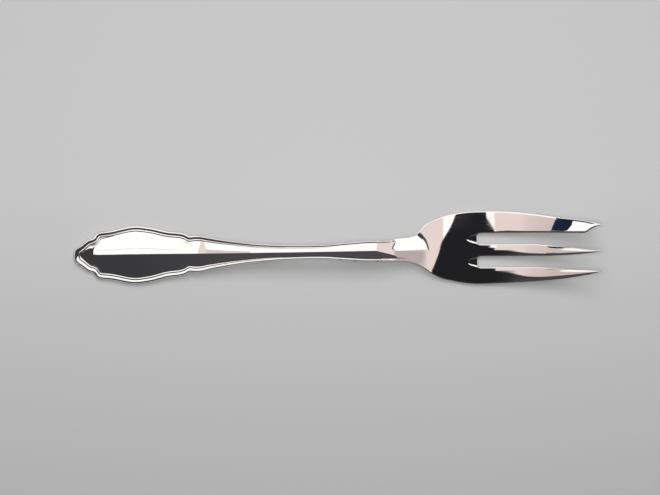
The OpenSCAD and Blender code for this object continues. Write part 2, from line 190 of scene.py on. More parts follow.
def blank_edge(column):
    """One side of the blank's outline, from the tip on: crisp at the notches, fair along the stem."""
    turn = np.linspace(0, math.pi / 2, 40, endpoint=False)
    along = np.arange(NOSE_L, TINE_X + PAST_END, FINE)
    width = through_rows(OUTLINE_ROWS, column, along)
    fair = eased(width, FAIR_SPREAD)
    stem_part = ease_in(HANDLE_L + 4, HANDLE_L + 7, along) * (1 - ease_in(STEM_X - 6, STEM_X - 3, along))
    head_part = ease_in(NECK_X - 4, NECK_X, along) * (1 - ease_in(ROOT_X - 2, ROOT_X, along))
    for part in (stem_part, head_part):
        width = mix(width, fair, part)
    x = np.concatenate([NOSE_L * (1 - np.cos(turn)), along])
    w = np.concatenate([NOSE_W / 2 * np.sin(turn), width])
    way = np.concatenate([[0], np.cumsum(np.hypot(np.diff(x), np.diff(w)))])
    even = np.arange(0, way[-1], FINE)
    x, w = np.interp(even, way, x), np.interp(even, way, w)
    near_tip = 1 - ease_in(2, 4, even)
    sides = []
    for values, sign in ((x, 1), (w, -1)):
        both = np.concatenate([sign * values[:0:-1], values])
        crisp, blunt = (eased(both, spread)[len(values) - 1:] for spread in (CRISP_SPREAD, BLUNT_SPREAD))
        sides.append(mix(crisp, blunt, near_tip))
    x, w = sides
    return x - x[0] * near_tip, w


EDGES = {1: blank_edge(1), -1: blank_edge(2)}


def half_w(x, side):
    return np.interp(x, *EDGES[side])


def from_side(x, y):
    """Distance straight across the fork to its outline."""
    return np.where(y > 0, half_w(x, 1), half_w(x, -1)) - np.abs(y)


# Side view: the back's middle line over the table, then what lies on it
rail = curve([
    (0, 0.35), (HANDLE_L * 0.15, -0.06), (HANDLE_L * 0.42, -0.06), (HANDLE_L * 0.72, ARCH_H * 0.06),
    (HANDLE_L, ARCH_H * 0.21), (HANDLE_L + TAPER_L * 0.35, ARCH_H * 0.54),
    (HANDLE_L + TAPER_L * 0.72, ARCH_H * 0.87), (WAIST_X + SWELL_L * 0.15, ARCH_H),
    (WAIST_X + SWELL_L * 0.6, ARCH_H * 0.92), (STEM_X, ARCH_H * 0.68),
    (STEM_X + NECK_L * 0.45, ARCH_H * 0.365), (NECK_X, ARCH_H * 0.08), (NECK_X + HEAD_L * 0.45, -0.06),
    (NECK_X + HEAD_L * 0.8, -0.06), (TINE_X, TINE_RISE * 0.015), (TINE_X + FREE_L * 0.25, TINE_RISE * 0.13),
    (TINE_X + FREE_L * 0.5, TINE_RISE * 0.36), (TINE_X + FREE_L * 0.75, TINE_RISE * 0.66),
    (FORK_L, TINE_RISE),
], 1.6)
edge_t = curve([
    (0, 1.1), (HANDLE_L, 1.1), (WAIST_X, 1), (STEM_X, 1), (NECK_X, 1.1), (TINE_X, 1.1), (FORK_L, 0.6),
], 2)
crown_h = curve([
    (0, 0.85), (HANDLE_L, 0.85), (WAIST_X, 0.6), (STEM_X, 0.52), (STEM_X + 2.2, 0.45), (STEM_X + 5.6, 0.16),
    (NECK_X - 3, 0.15), (NECK_X, 0.32), (NECK_X + HEAD_L * 0.5, 0.5), (TINE_X, 0.5), (FORK_L, 0.3),
], 1.5)
# The front of the head and tines lies a little lower than the border's floor
front_drop = curve([
    (0, 0), (STEM_X, 0), (NECK_X, -0.08), (NECK_X + HEAD_L * 0.5, -0.15), (TINE_X, -0.15), (FORK_L, -0.33),
], 1.5)
back_h = curve([
    (0, 0.45), (HANDLE_L, 0.45), (WAIST_X, 0.7), (STEM_X, 0.7), (NECK_X, 0.5), (TINE_X, 0.5),
    (FORK_L, 0.17),
], 2)
border_w = curve([
    (0, 2.2), (HANDLE_L * 0.06, 1.9), (HANDLE_L * 0.15, 1.7), (HANDLE_L, 1.6),
    (HANDLE_L + TAPER_L * 0.5, 1.0), (WAIST_X, 0.72), (STEM_X, 0.75), (FORK_L, 0.75),
], 0.5)
round_w = curve([
    (0, 0.31), (HANDLE_L, 0.31), (WAIST_X, 0.15), (STEM_X, 0.17), (NECK_X, 0.35), (TINE_X, 0.35),
    (FORK_L, 0.3),
], 0.5)
thread_rise = curve([
    (0, 0.25), (HANDLE_L, 0.25), (WAIST_X, 0.15), (STEM_X - SWELL_L * 0.15, 0.15), (STEM_X - 1.4, 0.12),
    (STEM_X - 0.4, 0), (FORK_L, 0),
])
inner_share = curve([(0, 0.45), (HANDLE_L, 0.45), (50, 0.4), (62, 0), (FORK_L, 0)])
panel_w = curve(
    [(0, 5.6), (HANDLE_L * 0.25, 5.6)]
    + [(x, float(half_w(x, 1) - border_w(x))) for x in np.arange(HANDLE_L * 0.32, STEM_X, 0.6)]
    + [(STEM_X + 2.6, 2.45), (STEM_X + 6, 4.2), (STEM_X + 8.5, 5.9), (NECK_X, 8.2), (NECK_X + 4, 9.4)]
    + [(NECK_X + 8, HEAD_LEFT - 1), (FORK_L, HEAD_LEFT - 1)],
    1.0,
)
back_reach = curve([(x, float(half_w(x, 1)) * 0.9) for x in np.arange(1, TINE_X + 6, 1.0)], 2)


def to_line(px, py, line_x, line_y, reach, at_once=600):
    """Distance from points to a line whose x only grows."""
    away = np.empty(len(px))
    for chunk in np.array_split(np.argsort(px), max(1, len(px) // at_once)):
        low = max(int(np.searchsorted(line_x, px[chunk[0]] - reach)) - 1, 0)
        high = min(int(np.searchsorted(line_x, px[chunk[-1]] + reach)) + 1, len(line_x))
        lx, ly = line_x[low:high], line_y[low:high]
        x, y = px[chunk], py[chunk]
        near = np.hypot(x[:, None] - lx, y[:, None] - ly).argmin(1)
        best = np.full(len(chunk), np.inf)
        for shift in (-1, 0):
            a = np.clip(near + shift, 0, len(lx) - 2)
            ax, ay = lx[a], ly[a]
            bx, by = lx[a + 1] - ax, ly[a + 1] - ay
            t = np.clip(((x - ax) * bx + (y - ay) * by) / (bx * bx + by * by), 0, 1)
            best = np.minimum(best, np.hypot(x - ax - t * bx, y - ay - t * by))
        away[chunk] = best
    return away


def from_edge(x, y, reach=6.0):
    """Distance in plan to the blank's outline."""
    shape = np.broadcast(x, y).shape
    px, py = np.broadcast_to(x, shape).ravel(), np.broadcast_to(y, shape).ravel()
    left, right = (to_line(px, py, EDGES[side][0], side * EDGES[side][1], reach) for side in (1, -1))
    return np.minimum(left, right).reshape(shape)


def soft_least(a, b, blend):
    h = np.clip(0.5 + 0.5 * (b - a) / blend, 0, 1)
    return mix(b, a, h) - blend * h * (1 - h)


def floor_z(x):
    """Height of the border's floor on the front."""
    return rail(x) + back_h(x) + edge_t(x)


def crowned(x, y):
    """Crown across the blank: round over the stem, evenly sloping towards the sides of the head."""
    out = np.abs(y) / panel_w(x)
    even = np.where(out < 0.5, out * out, out - 0.25)
    return front_drop(x) + crown_h(x) * (1 - mix(out * out, even, ease_in(NECK_X + 3, ROOT_X, x)))


def front_rise(x, y, away):
    """Height of the panel and of the stem's crown over the border's floor."""
    crown = crowned(x, y)
    rise = soft_least(crown, PANEL_SIDE_SLOPE * (away - border_w(x)), blend=0.06)
    rise = soft_least(rise, PANEL_END_SLOPE * (x - PANEL_END_X - PANEL_END_ROUND * y * y), blend=0.1)
    rise = -soft_least(-rise, np.zeros_like(rise), blend=0.02)
    return mix(rise, crown, ease_in(STEM_X - 1, STEM_X + 6, x))


def back_z(x, away):
    """Height of the back, worn flat where it would dip under the table's level."""
    share = 1 - np.clip(away / back_reach(x), 0, 1)
    return np.maximum(rail(x) + back_h(x) * share * share, 0)


def rounding(away, width):
    """Share of an edge's rounding that is left, from 1 at the edge to 0 a width inside it."""
    e = 1 - np.clip(away / width, 0, 1)
    return 1 - np.sqrt(np.maximum(1 - e * e, 0))


def spine_x(x):
    """Where on the axis a station's rows end: drawn away from the tip, so that they fan round the nose."""
    turn, start = HANDLE_L * 0.36, HANDLE_L * 0.18
    return np.where(x < turn, x + start * (1 - np.minimum(x, turn) / turn) ** 1.5, x)


# How far the threads crowd inwards along the stem
crowding = curve([(0, 1), (HANDLE_L, 1), (60, 1.8), (FORK_L, 1.8)])

# Rows of points from the middle of the front over the edge to the middle of the back, closest at the edge
PANEL_ROWS = np.linspace(0, 1, 26)[:-1]
EDGE_SHARE, BACK_EDGE_SHARE = 0.2, 0.05
BORDER_ROWS = np.concatenate([
    np.linspace(1, EDGE_SHARE, 30)[:-1], EDGE_SHARE * np.cos(np.linspace(0, np.pi / 2, 9)) ** 1.5,
])
BORDER_ROWS[-1] = 0
WALL_ROWS = [0.3, 0.7]
BACK_ROWS = np.concatenate([
    BACK_EDGE_SHARE * (1 - np.cos(np.linspace(0, np.pi / 2, 7))), np.linspace(BACK_EDGE_SHARE, 1, 16)[1:],
])
# Least share of a row that counts as straight inwards, and most of its way that the border may take
LEAST_INWARD, MOST_WAY = 0.55, 0.62
# Border share of points that lie on the wall and back, beyond both threads
NO_BORDER = 2.0


def half_skin(stations, side):
    """Points of half a skin, station by station, and their share of the way across the border."""
    p = np.stack([stations, side * half_w(stations, side)], 1)
    q = np.stack([spine_x(stations), np.zeros_like(stations)], 1)
    step = 1e-2
    behind = np.maximum(stations - step, 0)
    slope = (half_w(stations + step, side) - half_w(behind, side)) / (stations + step - behind)
    lean = np.arctan(eased(slope, 3, 1))
    way = np.linalg.norm(q - p, axis=1)
    d = (q - p) / way[:, None]
    inward = np.stack([np.sin(lean), -side * np.cos(lean)], 1)
    width = border_w(stations) / np.maximum(LEAST_INWARD, (d * inward).sum(1))
    b = p + d * np.minimum(width, way * MOST_WAY)[:, None]

    def rows(start, end, shares):
        return start[:, None, :] + (end - start)[:, None, :] * np.asarray(shares)[None, :, None]

    front = np.concatenate([rows(q, b, PANEL_ROWS), rows(p, b, BORDER_ROWS)], 1)
    x, y = front[..., 0], front[..., 1]
    away = from_edge(x, y)
    away[:, -1] = 0
    on_neck = ease_in(STEM_X + 2, NECK_X - 1, x)
    drop = mix(EDGE_DROP, HEAD_EDGE_DROP * edge_t(x), on_neck) * rounding(away, round_w(x))
    top = floor_z(x) + front_rise(x, y, away) - drop
    across = (away / border_w(x)) ** crowding(x)

    back = rows(p, q, BACK_ROWS)
    bx = back[..., 0]
    back_away = from_edge(bx, back[..., 1])
    back_away[:, 0] = 0
    low = back_z(bx, back_away) + BACK_EDGE_DROP * edge_t(bx) * rounding(back_away, BACK_ROUND_W)

    wall_z = mix(top[:, -1:], low[:, :1], np.asarray(WALL_ROWS)[None, :])
    plan = np.concatenate([front, rows(p, p, WALL_ROWS), back], 1)
    z = np.concatenate([top, wall_z, low], 1)
    none = np.full((len(stations), len(WALL_ROWS) + len(BACK_ROWS)), NO_BORDER)
    return np.dstack([plan, z]), np.concatenate([across, none], 1)


def skin(stations):
    """Closed rings of the blank, one for each station, with the border share of every point."""
    left, left_across = half_skin(stations, 1)
    right, right_across = half_skin(stations, -1)
    points = np.concatenate([left, right[:, -2:0:-1]], 1)
    return points, np.concatenate([left_across, right_across[:, -2:0:-1]], 1)


def in_frame(points):
    """Millimetres along and across the fork to metres in the shared frame."""
    return (points - BOX_MIDDLE) * MM


def unit(vectors):
    length = np.linalg.norm(vectors, axis=-1, keepdims=True)
    return vectors / np.maximum(length, 1e-12)


def ring_normals(points, before, after):
    """Outward normals of closed rings, from their neighbours along and around."""
    long = np.concatenate([points[1:], after[None]]) - np.concatenate([before[None], points[:-1]])
    around = np.roll(points, -1, 1) - np.roll(points, 1, 1)
    return unit(np.cross(long, around))


def add_object(name, data):
    thing = bpy.data.objects.new(name, data)
    bpy.context.scene.collection.objects.link(thing)
    return thing


def make_piece(name, points, faces, normals, caps, material):
    """One closed piece in its place, with given normals on its skin and flat ends."""
    mesh = bpy.data.meshes.new(name)
    mesh.from_pydata(in_frame(points).tolist(), [], faces + [face for face, _ in caps])
    mesh.materials.append(material)
    mesh.polygons.foreach_set("use_smooth", [True] * len(faces) + [False] * len(caps))
    keys = {tuple(sorted(edge.vertices)): edge.index for edge in mesh.edges}
    sharp = np.zeros(len(mesh.edges), bool)
    for face, _ in caps:
        for k, v in enumerate(face):
            sharp[keys[tuple(sorted((v, face[k - 1])))]] = True
    mesh.attributes.new("sharp_edge", "BOOLEAN", "EDGE").data.foreach_set("value", sharp)
    loop_vertex = np.empty(len(mesh.loops), int)
    mesh.loops.foreach_get("vertex_index", loop_vertex)
    loop_normals = normals[loop_vertex]
    ends = sum(len(face) for face in faces)
    for face, way in caps:
        loop_normals[ends:ends + len(face)] = (way, 0, 0)
        ends += len(face)
    mesh.normals_split_custom_set(loop_normals.tolist())
    mesh.update()
    return add_object(name, mesh)


def without_repeats(face):
    return [v for k, v in enumerate(face) if v != face[k - 1]]


def ring_faces(count, size):
    """Quads between closed rings."""
    faces = []
    for first in range(0, (count - 1) * size, size):
        for r in range(size):
            s = (r + 1) % size
            faces.append([first + r, first + size + r, first + size + s, first + s])
    return faces


def ring_piece(name, points, normals, material, pointed=False, closed_end=False):
    """A piece from closed rings, flat at both ends unless its start is pointed or its end is closed."""
    count, size = points.shape[:2]
    total, last = count * size, (count - 1) * size
    points, normals = points.reshape(-1, 3), normals.reshape(-1, 3)
    same = np.arange(total)
    caps = []
    if pointed:
        # The two halves of the first ring lie on the same points, so only one is kept
        same[:size] = np.minimum(same[:size], size - same[:size])
    else:
        caps.append((list(range(size)), -1))
    if closed_end:
        same[last:] = last
        points[last], normals[last] = points[last:].mean(0), (1, 0, 0)
    else:
        caps.append((list(range(total - 1, last - 1, -1)), 1))
    kept = same == np.arange(total)
    new = (np.cumsum(kept) - 1)[same].tolist()
    faces = [without_repeats([new[v] for v in face]) for face in ring_faces(count, size)]
    faces = [face for face in faces if len(face) > 2]
    caps = [([new[v] for v in face], way) for face, way in caps]
    return make_piece(name, points[kept], faces, normals[kept], caps, material)


class Pattern:
    """Small helper that writes nodes, sums and masks into a node tree."""

    def __init__(self, tree):
        self.nodes, self.links = tree.nodes, tree.links

    def fill(self, node, inputs):
        """Give a node its inputs, by name or number: values, or what other nodes put out."""
        for label, value in inputs.items():
            if isinstance(value, bpy.types.NodeSocket):
                self.links.new(value, node.inputs[label])
            else:
                node.inputs[label].default_value = value

    def add(self, kind, inputs=None, **settings):
        node = self.nodes.new(kind)
        for label, value in settings.items():
            setattr(node, label, value)
        self.fill(node, inputs or {})
        return node

    def sum(self, kind, a, b=0.0):
        return self.add("ShaderNodeMath", {0: a, 1: b}, operation=kind).outputs[0]

    def line(self, value, start, slope):
        return self.sum("ADD", start, self.sum("MULTIPLY", value, slope))

    def place(self, value, low, high, kind="SMOOTHSTEP"):
        """Place of a value between two others, from 0 to 1."""
        inputs = {"Value": value, "From Min": low, "From Max": high}
        return self.add("ShaderNodeMapRange", inputs, interpolation_type=kind).outputs["Result"]

    def above(self, value, edge, soft=0.01):
        return self.place(value, self.sum("SUBTRACT", edge, soft), self.sum("ADD", edge, soft))

    def below(self, value, edge, soft=0.01):
        return self.sum("SUBTRACT", 1.0, self.above(value, edge, soft))

    def between(self, value, low, high, soft=0.01):
        return self.both(self.above(value, low, soft), self.below(value, high, soft))

    def both(self, *masks):
        result = masks[0]
        for mask in masks[1:]:
            result = self.sum("MULTIPLY", result, mask)
        return result

    def paint(self, under, mask, colour):
        inputs = {"Factor": mask, "A": under, "B": colour}
        return self.add("ShaderNodeMix", inputs, data_type="RGBA").outputs["Result"]

    def axes(self, only_direction=False):
        """X, Y and Z of the shaded point, or of its direction from the middle of the frame."""
        point = self.add("ShaderNodeTexCoord").outputs["Object"]
        if only_direction:
            point = self.add("ShaderNodeVectorMath", {0: point}, operation="NORMALIZE").outputs["Vector"]
        return self.add("ShaderNodeSeparateXYZ", {0: point}).outputs


def thread_tree(material):
    """Geometry Nodes tree that strikes the two threads into the border of a blank's skin."""
    tree = bpy.data.node_groups.new("strike thread border", "GeometryNodeTree")
    face = tree.interface
    face.new_socket("Blank", in_out="INPUT", socket_type="NodeSocketGeometry")
    sizes = {
        "Outer crest": 0.12, "Outer foot": 0.66,
        "Inner start": 0.64, "Inner crest": 0.77, "Inner foot": 0.98,
    }
    for label, value in sizes.items():
        face.new_socket(label, in_out="INPUT", socket_type="NodeSocketFloat").default_value = value
    face.new_socket("Struck", in_out="OUTPUT", socket_type="NodeSocketGeometry")
    p = Pattern(tree)
    size = p.add("NodeGroupInput").outputs

    def named(label):
        node = p.add("GeometryNodeInputNamedAttribute", {"Name": label}, data_type="FLOAT")
        return node.outputs["Attribute"]

    def falling(share):
        return p.sum("SUBTRACT", 1.0, p.sum("MULTIPLY", share, share))

    def thread(start, crest, foot, height):
        """One thread, round from its start over its crest to its foot."""
        up = falling(p.sum("SUBTRACT", 1.0, p.place(across, start, crest, "LINEAR")))
        down = falling(p.place(across, crest, foot, "LINEAR"))
        return p.both(up, down, height)

    across = named("across border")
    outer = thread(0.0, size["Outer crest"], size["Outer foot"], named("outer thread"))
    inner = thread(size["Inner start"], size["Inner crest"], size["Inner foot"], named("inner thread"))
    lift = p.add("ShaderNodeCombineXYZ", {"Z": p.sum("MAXIMUM", outer, inner)})
    raised = p.add("GeometryNodeSetPosition", {"Geometry": size["Blank"], "Offset": lift.outputs["Vector"]})
    real = p.add("GeometryNodeRealizeInstances", {"Geometry": raised.outputs["Geometry"]})
    plated = p.add("GeometryNodeSetMaterial", {"Geometry": real.outputs["Geometry"], "Material": material})
    p.add("NodeGroupOutput", {"Struck": plated.outputs["Geometry"]})
    return tree


def struck(points, across, outer, inner, tree):
    """The skin's points after the threads are struck into it."""
    mesh = bpy.data.meshes.new("blank")
    mesh.from_pydata(in_frame(points.reshape(-1, 3)).tolist(), [], ring_faces(*points.shape[:2]))
    layers = {"across border": across, "outer thread": outer * MM, "inner thread": inner * MM}
    for label, values in layers.items():
        layer = mesh.attributes.new(label, "FLOAT", "POINT")
        layer.data.foreach_set("value", values.ravel().astype(np.float32))
    blank = add_object("blank", mesh)
    blank.modifiers.new("thread border", "NODES").node_group = tree
    ready = blank.evaluated_get(bpy.context.evaluated_depsgraph_get())
    result = bpy.data.meshes.new_from_object(ready)
    co = np.empty(len(result.vertices) * 3)
    result.vertices.foreach_get("co", co)
    bpy.data.objects.remove(blank)
    bpy.data.meshes.remove(mesh)
    bpy.data.meshes.remove(result)
    return co.reshape(points.shape) * 1000 + BOX_MIDDLE


# Nicks and steps that close the threads above the neck: place, half length and depth as a share
THREAD_NICKS = [(75.8, 0.25, 0.5), (79.8, 0.5, 0.35), (86.3, 0.25, 0.7), (87.3, 0.25, 0.7)]


def thread_heights(x):
    height = thread_rise(x)
    for at, reach, share in THREAD_NICKS:
        height = height * (1 - share * np.exp(-(((x - at) / reach) ** 2)))
    return height


def from_slots(x, y):
    """Distance in plan to the nearest slot's edge."""
    gaps = []
    for middle in SLOTS:
        qx = ROOT_X + SLOT_R - x
        qy = np.abs(y - middle) - (SLOT_W / 2 - SLOT_R)
        outside = np.hypot(np.maximum(qx, 0), np.maximum(qy, 0))
        gaps.append(outside + np.minimum(np.maximum(qx, qy), 0) - SLOT_R)
    return np.maximum(np.minimum(*gaps), 0)


def crown_begun(x):
    """How far the slim tines' crown has grown out of the head, from 0 to 1."""
    return ease_in(ROOT_X - 1.5, TINE_X + 4, x)


def tine_crown(x, y):
    """Each slim tine is rounded across its front, more so away from the head."""
    middle = (y - (MIDDLE_LEFT + MIDDLE_RIGHT) / 2) / (MIDDLE_W / 2)
    outer = (y - (OUTER_LEFT - OUTER_W / 2)) / (OUTER_W / 2)
    over_slot = np.clip((y - MIDDLE_LEFT) / SLOT_W, 0, 1)
    share = np.where(y > MIDDLE_LEFT, 1 - ease_in(0, 1, over_slot), np.minimum(middle ** 2, 1))
    share = np.where(y < OUTER_LEFT, outer ** 2, share)
    share = np.where((y < MIDDLE_RIGHT) & (y > OUTER_LEFT), 1, share)
    return -TINE_CROWN * crown_begun(x) * share


def run_out(x, y):
    """Shallow troughs that the slots' cutter leaves before their roots."""
    depth = 0
    for middle in SLOTS:
        share = np.clip((x - (ROOT_X - RUN_OUT_L)) / RUN_OUT_L, 0, 1)
        half = SLOT_W / 2 * np.sqrt(share)
        depth = depth + RUN_OUT_H * share * ease_in(0, RUN_OUT_BANK, half - np.abs(y - middle))
    return -depth


def front_z(x, y):
    """Front of head and tines, before its edges are rounded."""
    return floor_z(x) + crowned(x, y) + tine_crown(x, y) + run_out(x, y)


def under_z(x, y):
    """Back of the head, before its edges are rounded."""
    return back_z(x, np.maximum(from_side(x, y), 0))


def steps_between(low, high, count, near_low=0.0, near_high=0.0, close=7):
    """Places between two ends, close together within a rounding's width of either."""
    fine = 1 - np.cos(np.linspace(0, np.pi / 2, close))
    parts = [low + near_low * fine[:-1]] if near_low else []
    parts.append(np.linspace(low + near_low, high - near_high, count))
    if near_high:
        parts.append((high - near_high * fine[:-1])[::-1])
    return np.concatenate(parts)


def head_piece(material):
    """The head between the neck and the tines, its sheets joined along the outline and the slots."""
    slot_end = ROOT_X + SLOT_R
    to_slots = steps_between(NECK_X, slot_end, 84, near_high=0.45, close=10)
    whole = np.concatenate([to_slots, np.linspace(slot_end, TINE_X, 6)[1:]])
    # Bands between these places across the head are in turn a tine's root and a slot
    borders = [None, OUTER_LEFT, MIDDLE_RIGHT, MIDDLE_LEFT, CUTTING_RIGHT, None]
    # One plan grid per band, and a number for every point that two bands share
    numbers, plan = {}, []

    def number(x, y):
        key = (round(x, 5), round(y, 5))
        if key not in numbers:
            numbers[key] = len(plan)
            plan.append((x, y))
        return numbers[key]

    # Over the last stretch the slot bands' columns bend to the roots' round corners
    bend_x, corner = ROOT_X - 3, SLOT_R * (1 - np.cos(np.linspace(0, np.pi / 2, 9)))
    grids = []
    for band, (low, high) in enumerate(zip(borders, borders[1:])):
        is_slot, columns = band % 2 == 1, []
        for x in to_slots if is_slot else whole:
            if is_slot:
                straight = np.linspace(low + SLOT_R, high - SLOT_R, 10)[1:-1]
                ys = np.concatenate([low + corner, straight, (high - corner)[::-1]])
                past = SLOT_R - np.minimum(np.minimum(ys - low, high - ys), SLOT_R)
                end = ROOT_X + SLOT_R - np.sqrt(np.maximum(SLOT_R ** 2 - past ** 2, 0))
                bent = bend_x + (x - bend_x) * (end - bend_x) / (slot_end - bend_x)
                xs = np.where(x > bend_x, bent, x)
            else:
                right = -float(half_w(x, -1)) if low is None else low
                left = float(half_w(x, 1)) if high is None else high
                ys = steps_between(right, left, 16, near_low=0.35, near_high=0.35)
                xs = np.full(len(ys), x)
            columns.append([number(a, b) for a, b in zip(xs, ys)])
        grids.append(np.array(columns))
    plan = np.array(plan)
    count = len(plan)
    x, y = plan[:, 0], plan[:, 1]

    def away_of(px, py):
        across = from_side(px, py)
        exact = np.where(across < NEAR_EDGE, from_edge(px, py), across)
        return np.minimum(exact, from_slots(px, py))

    def slopes(function, step=2e-3):
        return (
            (function(x + step, y) - function(x - step, y)) / (2 * step),
            (function(x, y + step) - function(x, y - step)) / (2 * step),
        )

    # Boundary points in order, so that walls can join the front sheet to the back sheet
    lines = [grids[0][:, 0], grids[4][::-1, -1]]
    last = len(to_slots) - 1
    for lower, slot, upper in ((0, 1, 2), (2, 3, 4)):
        lines.append(np.concatenate([
            grids[lower][last:, -1][::-1], grids[slot][-1, 1:-1], grids[upper][last:, 0],
        ]))
    away = away_of(x, y)
    inward = unit(np.stack(slopes(away_of, 2e-2), 1))
    for line in lines:
        away[line] = 0
        along = np.gradient(plan[line], axis=0)
        inward[line] = unit(np.stack([-along[:, 1], along[:, 0]], 1))

    def sheet(surface, drop, width, up):
        """Heights and normals of the front or back sheet with its edge rounded off."""
        sx, sy = slopes(surface)
        left = 1 - np.clip(away / width, 0, 1)
        flat = np.sqrt(np.maximum(1 - left * left, 0))
        z = surface(x, y) - up * drop * (1 - flat)
        n = np.stack([-sx * up, -sy * up, np.full(count, float(up))], 1) * flat[:, None]
        n[:, :2] -= inward * (drop / width * left)[:, None]
        return z, unit(n)

    top_z, top_n = sheet(front_z, HEAD_EDGE_DROP * edge_t(x), round_w(x), 1)
    low_z, low_n = sheet(under_z, BACK_EDGE_DROP * edge_t(x), BACK_ROUND_W, -1)
    points = [np.column_stack([plan, top_z]), np.column_stack([plan, low_z])]
    normals = [top_n, low_n]
    faces = []
    for grid in grids:
        a, b, c, d = grid[:-1, :-1], grid[1:, :-1], grid[1:, 1:], grid[:-1, 1:]
        quads = np.stack([a, b, c, d], -1).reshape(-1, 4)
        faces += quads.tolist()
        faces += (quads[:, ::-1] + count).tolist()
    total = 2 * count
    wall_ends = {}
    for line in lines:
        level = [line]
        for share in WALL_ROWS:
            points.append(np.column_stack([plan[line], mix(top_z[line], low_z[line], share)]))
            normals.append(top_n[line])
            level.append(np.arange(total, total + len(line)))
            total += len(line)
        level.append(line + count)
        for upper, lower in zip(level[:-1], level[1:]):
            faces += np.stack([upper[:-1], lower[:-1], lower[1:], upper[1:]], -1).tolist()
        for end in (0, -1):
            wall_ends[int(line[end])] = [int(row[end]) for row in level[1:-1]]
    # Flat ends towards the neck and towards each tine
    caps = []

    def cap(row, way):
        first = wall_ends.get(int(row[0]), [])
        last = wall_ends.get(int(row[-1]), [])
        loop = list(map(int, row)) + last + [int(v) + count for v in row[::-1]] + first[::-1]
        caps.append((loop[::-1] if way < 0 else loop, way))

    cap(np.concatenate([grids[0][0]] + [grid[0][1:] for grid in grids[1:]]), -1)
    for grid in (grids[0], grids[2], grids[4]):
        cap(grid[-1], 1)
    return make_piece("head_plate", np.concatenate(points), faces, np.concatenate(normals), caps, material)


def tine_piece(name, rows, root, width, material, right_spread=0.8, bevel=False):
    """A tine from its root at the head to its rounded tip. The cutting tine is bevelled and thinned."""
    quarter, tip_x = np.linspace(0, np.pi / 2, 9), FORK_L - TIP_R
    stations = np.concatenate([
        [TINE_X - 0.2], np.linspace(TINE_X, FORK_L - 0.6, 170), np.linspace(FORK_L - 0.6, tip_x, 8)[1:],
        FORK_L - TIP_R * (1 - np.sin(quarter))[1:],
    ])
    table = [(TINE_X + FREE_L * s, root + width * left, root + width * right) for s, left, right in rows]
    left_edge, right_edge = curve(table, 0.8, 1), curve(table, right_spread, 2)
    grown = ease_in(TINE_X, TINE_X + 3, stations)
    yl = mix(root + width, left_edge(stations), grown)
    yr = mix(root, right_edge(stations), grown)
    tip = np.sqrt(np.maximum(1 - np.clip((stations - tip_x) / TIP_R, 0, 1) ** 2, 0))
    middle = ((yl + yr) / 2)[:, None]
    half = (yl - yr) / 2 * tip
    fine = 1 - np.cos(np.linspace(0, np.pi / 2, 8))
    bevelled = ease_in(TINE_X + 1, TINE_X + 8, stations) if bevel else 0
    edge_w = np.minimum(round_w(stations) * (1 + BEVEL_BLUNTED * bevelled), half * MOST_ROUND)
    low_w = np.minimum(BACK_ROUND_W, half * MOST_ROUND)
    half, tip = half[:, None], tip[:, None]
    inner = np.linspace(-1, 1, 22)[1:-1]
    x, near_tip = stations[:, None], ease_in(FORK_L - 6, FORK_L, stations[:, None])

    def across(round_now):
        """Places across the tine from right to left, close together on its two roundings."""
        near = half - round_now[:, None] * fine
        return np.concatenate([-near, inner * (half - round_now[:, None]), near[:, ::-1]], 1)

    top_y, low_y = -across(edge_w), across(low_w)
    own_half = np.maximum((yl - yr) / 2, 1e-6)[:, None]

    def top_surface(y_off):
        if bevel:
            own = -BLADE_TILT * ease_in(TINE_X + 8, FORK_L - 8, x) * y_off
        else:
            # The crown follows the share of the tine's own width, however slim it has become
            own = -TINE_CROWN * crown_begun(x) * (y_off / own_half) ** 2
        return floor_z(x) + crowned(x, middle + y_off) + own

    def low_surface(y_off):
        y = middle + y_off
        side = np.where(y > 0, HEAD_LEFT, HEAD_RIGHT)
        return back_z(np.broadcast_to(x, y.shape), np.maximum(side - np.abs(y), 0))

    def rounded(y_off, round_now):
        return edge_t(x) * rounding(half - np.abs(y_off), np.maximum(round_now, 1e-6)[:, None])

    top = top_surface(top_y) - HEAD_EDGE_DROP * rounded(top_y, edge_w)
    low = low_surface(low_y) + BACK_EDGE_DROP * rounded(low_y, low_w)
    if bevel:
        # A fine bevel eases the edge beside the slot and runs on round the tip's chamfer
        eased_off = -soft_least(half + top_y - BEVEL_W, np.zeros_like(top_y), blend=0.1)
        slope = BEVEL_SLOPE * bevelled[:, None] * (1 - BEVEL_LOST * near_tip)
        top = top - slope * eased_off
        size = THIN_W * ease_in(TINE_X, TINE_X + 7, x) * (1 - THIN_LOST * near_tip)
        inside = np.clip((half - low_y) / np.maximum(size, 1e-3), 0, 1)
        low = low + THIN_H * ease_in(0, 1, 1 - inside) * (size > 0.05)
        low = np.minimum(low, top_surface(low_y) - THIN_LEFT * edge_t(x))
    centre = (top.mean(1) + low.mean(1))[:, None] / 2
    top, low = mix(centre, top, tip), mix(centre, low, tip)
    wall = np.asarray(WALL_ROWS)[None, :]

    def part(y, z):
        return np.dstack([np.broadcast_to(x, z.shape), np.broadcast_to(y, z.shape), z])

    rings = np.concatenate([
        part(middle + top_y, top), part(middle - half, mix(top[:, -1:], low[:, :1], wall)),
        part(middle + low_y, low), part(middle + half, mix(low[:, -1:], top[:, :1], wall)),
    ], 1)[:, ::-1]
    normals = ring_normals(rings[1:], rings[0], rings[-1])
    normals[-1] = (1, 0, 0)
    return ring_piece(name, rings[1:], normals, material, closed_end=True)


